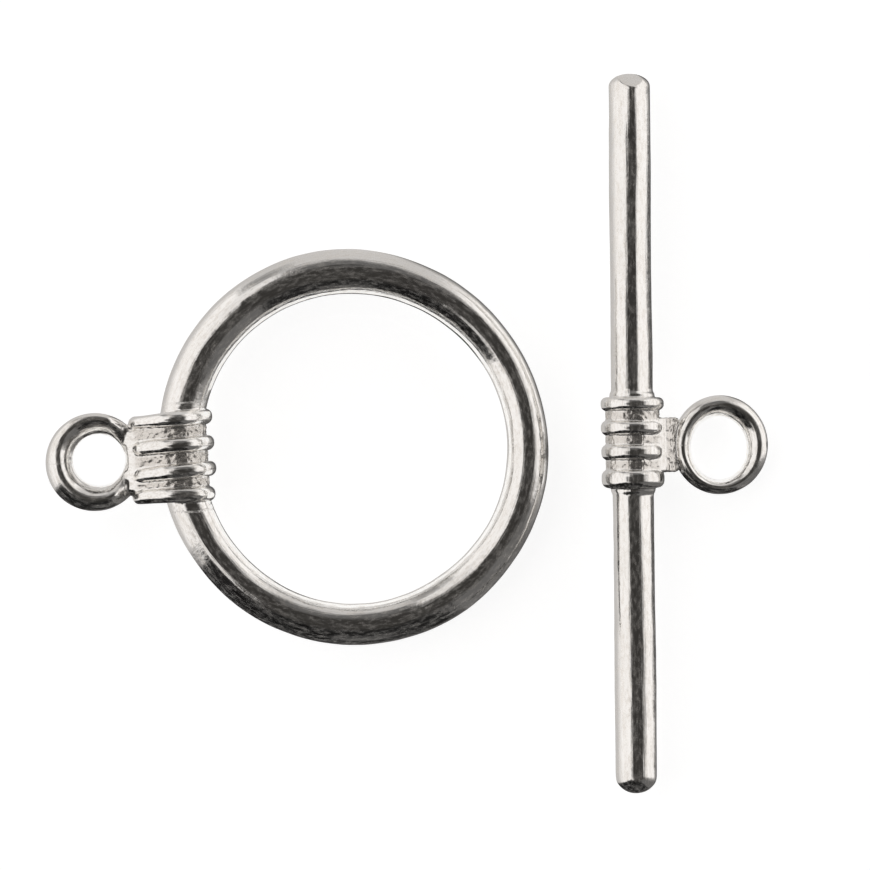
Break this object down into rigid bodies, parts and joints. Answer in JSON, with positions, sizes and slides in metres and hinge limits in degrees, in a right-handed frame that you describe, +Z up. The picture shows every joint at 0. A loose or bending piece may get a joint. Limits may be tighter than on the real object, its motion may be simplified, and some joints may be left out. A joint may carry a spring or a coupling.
{
  "type": "toggle clasp",
  "caption": "Two-part toggle clasp: a round hoop with a wrapped collar and link loop, and a straight bar with a ribbed collar and link loop.",
  "frame": {"origin": "middle of the whole clasp's footprint, on the surface that both halves lie on", "axes": "+X across the bar, from the ring half to the bar half's link loop; +Y along the bar towards its flatter end, within a degree; +Z up from the surface"},
  "size_m": [0.026, 0.026, 0.0026],
  "materials": {
    "silver_plate": "bright silver plate over a zinc alloy casting, polished with fine handling marks, matt and grainy in the grooves"
  },
  "bodies": {
    "root": {"toggle_ring": "silver_plate", "toggle_bar": "silver_plate"}
  },
  "joints": []
}
